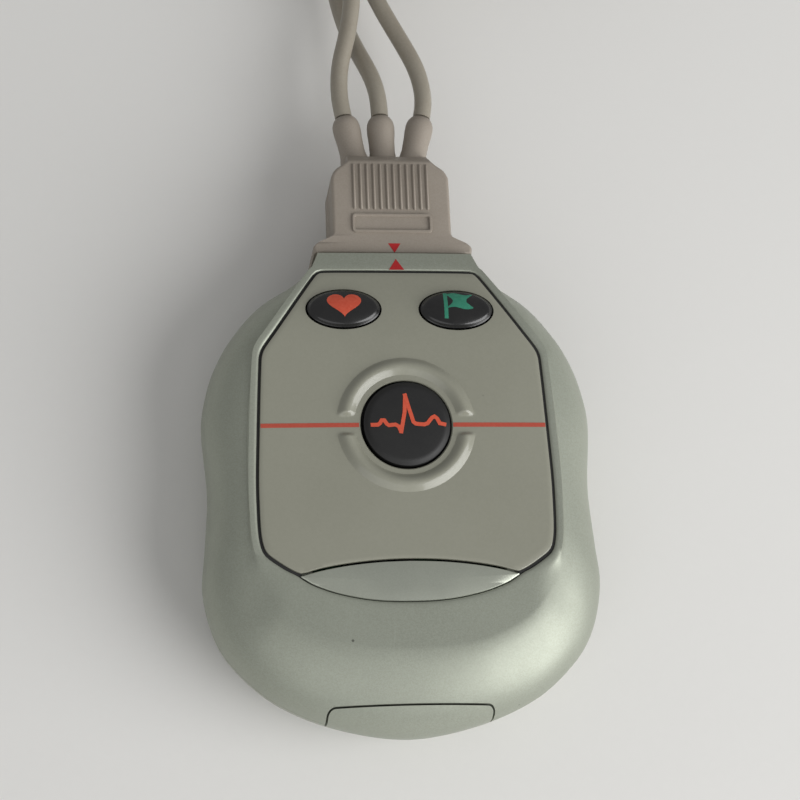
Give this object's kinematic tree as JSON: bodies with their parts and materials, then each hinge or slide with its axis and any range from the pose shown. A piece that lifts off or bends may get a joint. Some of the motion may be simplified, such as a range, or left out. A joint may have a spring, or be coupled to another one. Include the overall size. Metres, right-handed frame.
{
  "type": "holter monitor",
  "caption": "Pocket heart monitor with round and oval push buttons, sliding battery door and a plug with coiled lead wires ending in snap connectors.",
  "frame": {"origin": "centre of the housing's flat back, at the surface it lies on", "axes": "+X across to the right seen from the front, +Y along the housing toward the cable plug, +Z out of the front face"},
  "size_m": [0.0768, 0.2017, 0.0264],
  "materials": {
    "shell_paint": "satin silver-grey lacquer",
    "face_lacquer": "glossy warm grey",
    "badge_metal": "satin",
    "button_black": "gloss",
    "plug_plastic": "satin",
    "lead_jacket": "satin",
    "dark_plastic": "matt",
    "board_mask": "satin",
    "brass": "bright",
    "steel": "bright",
    "cell_wrap": "gloss",
    "seal_rubber": "matt"
  },
  "bodies": {
    "housing": {"badge_plate": "badge_metal", "battery_cradle": "dark_plastic", "case_screw_1": "steel", "case_screw_2": "steel", "case_screw_3": "steel", "case_screw_4": "steel", "cell_bridge": "brass", "cell_left": "cell_wrap", "cell_right": "cell_wrap", "cell_spring_left": "steel", "cell_spring_right": "steel", "circuit_board": "board_mask", "crystal": "steel", "event_switch": "steel", "faceplate": "face_lacquer", "front_shell": "shell_paint", "heart_switch": "steel", "main_chip": "dark_plastic", "marker_switch": "steel", "memory_chip": "dark_plastic", "rear_shell": "shell_paint", "seam_seal": "seal_rubber", "socket_body": "dark_plastic", "socket_pin_1": "brass", "socket_pin_2": "brass", "socket_pin_3": "brass", "socket_pin_4": "brass", "sounder": "dark_plastic"},
    "battery_door": {"battery_door": "shell_paint"},
    "patient_cable": {"plug_top": "plug_plastic", "plug_bottom": "plug_plastic", "plug_insert": "dark_plastic", "cable_tie": "dark_plastic", "strain_relief_left": "plug_plastic", "lead_left_run": "lead_jacket", "lead_left_coil": "lead_jacket", "snap_left": "plug_plastic", "snap_socket_left": "steel", "strain_relief_middle": "plug_plastic", "lead_middle_run": "lead_jacket", "lead_middle_coil": "lead_jacket", "snap_middle": "plug_plastic", "snap_socket_middle": "steel", "strain_relief_right": "plug_plastic", "lead_right_run": "lead_jacket", "lead_right_coil": "lead_jacket", "snap_right": "plug_plastic", "snap_socket_right": "steel"},
    "event_button": {"event_button": "button_black", "event_plunger": "dark_plastic"},
    "heart_button": {"heart_button": "button_black", "heart_plunger": "dark_plastic"},
    "marker_button": {"marker_button": "button_black", "marker_plunger": "dark_plastic"}
  },
  "joints": [
    {"name": "event_press", "type": "slide", "parent": "housing", "child": "event_button", "axis": [0, 0, 1], "range_m": [-0.0005, 0], "stiffness_N_per_m": 2500},
    {"name": "heart_press", "type": "slide", "parent": "housing", "child": "heart_button", "axis": [0, 0, 1], "range_m": [-0.0005, 0], "stiffness_N_per_m": 2500},
    {"name": "marker_press", "type": "slide", "parent": "housing", "child": "marker_button", "axis": [0, 0, 1], "range_m": [-0.0005, 0], "stiffness_N_per_m": 2500},
    {"name": "door_slide", "type": "slide", "parent": "housing", "child": "battery_door", "axis": [0, -1, 0], "range_m": [0, 0.01]},
    {"name": "plug_pull", "type": "slide", "parent": "housing", "child": "patient_cable", "axis": [0, 1, 0], "range_m": [0, 0.012]}
  ]
}
